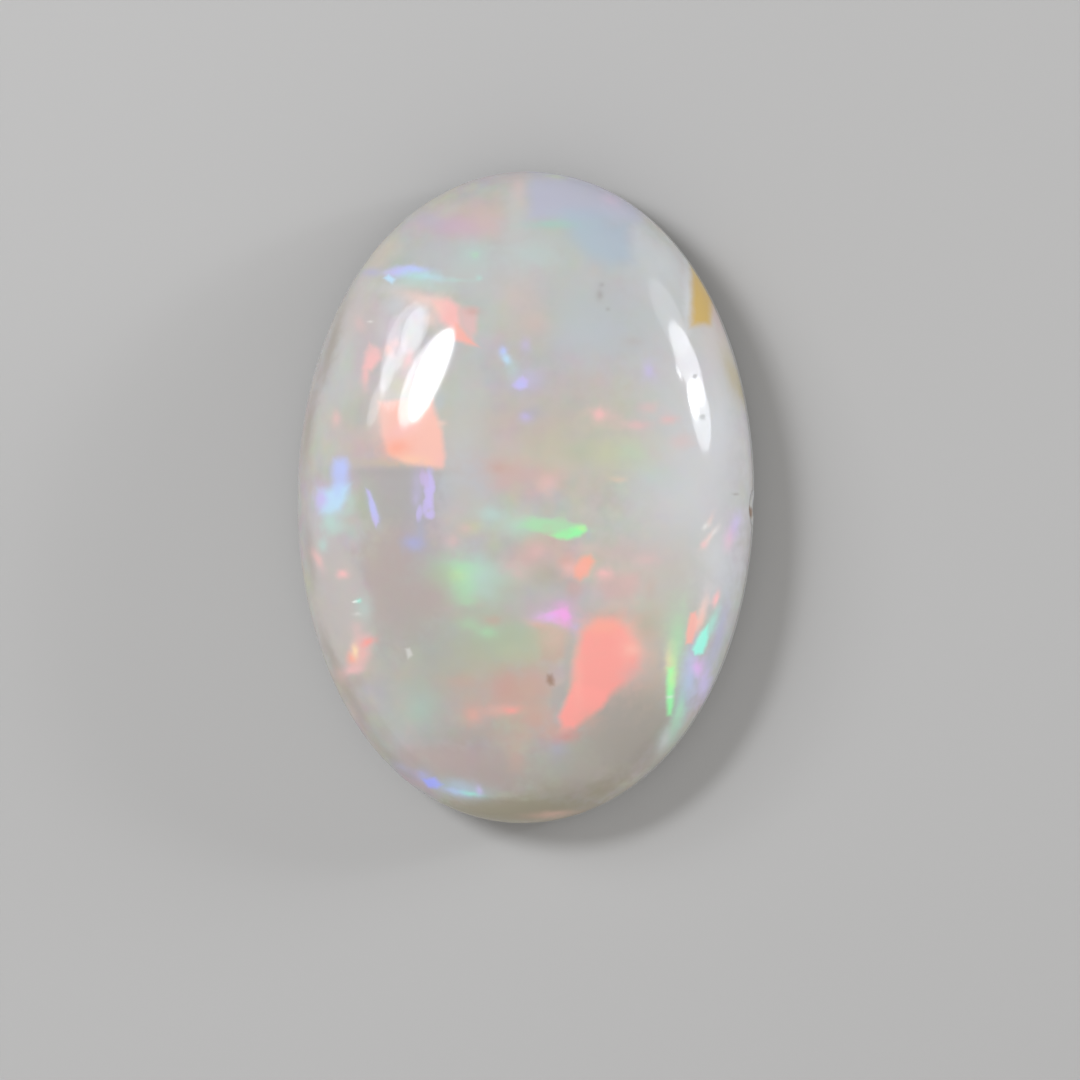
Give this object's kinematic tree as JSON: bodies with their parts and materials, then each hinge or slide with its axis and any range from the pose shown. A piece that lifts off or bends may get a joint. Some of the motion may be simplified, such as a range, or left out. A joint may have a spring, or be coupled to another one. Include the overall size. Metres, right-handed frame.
{
  "type": "opal cabochon",
  "caption": "Polished oval opal cabochon with a high smooth dome, low girdle wall and flat back, milky white with play of colour, for setting in jewellery.",
  "frame": {"origin": "middle of the flat back, where the stone rests", "axes": "+Z out of the dome, +Y along the stone's long axis, X across its width"},
  "size_m": [0.007, 0.01, 0.0026],
  "materials": {
    "polished_opal": "polished"
  },
  "bodies": {
    "root": {"opal": "polished_opal"}
  },
  "joints": []
}
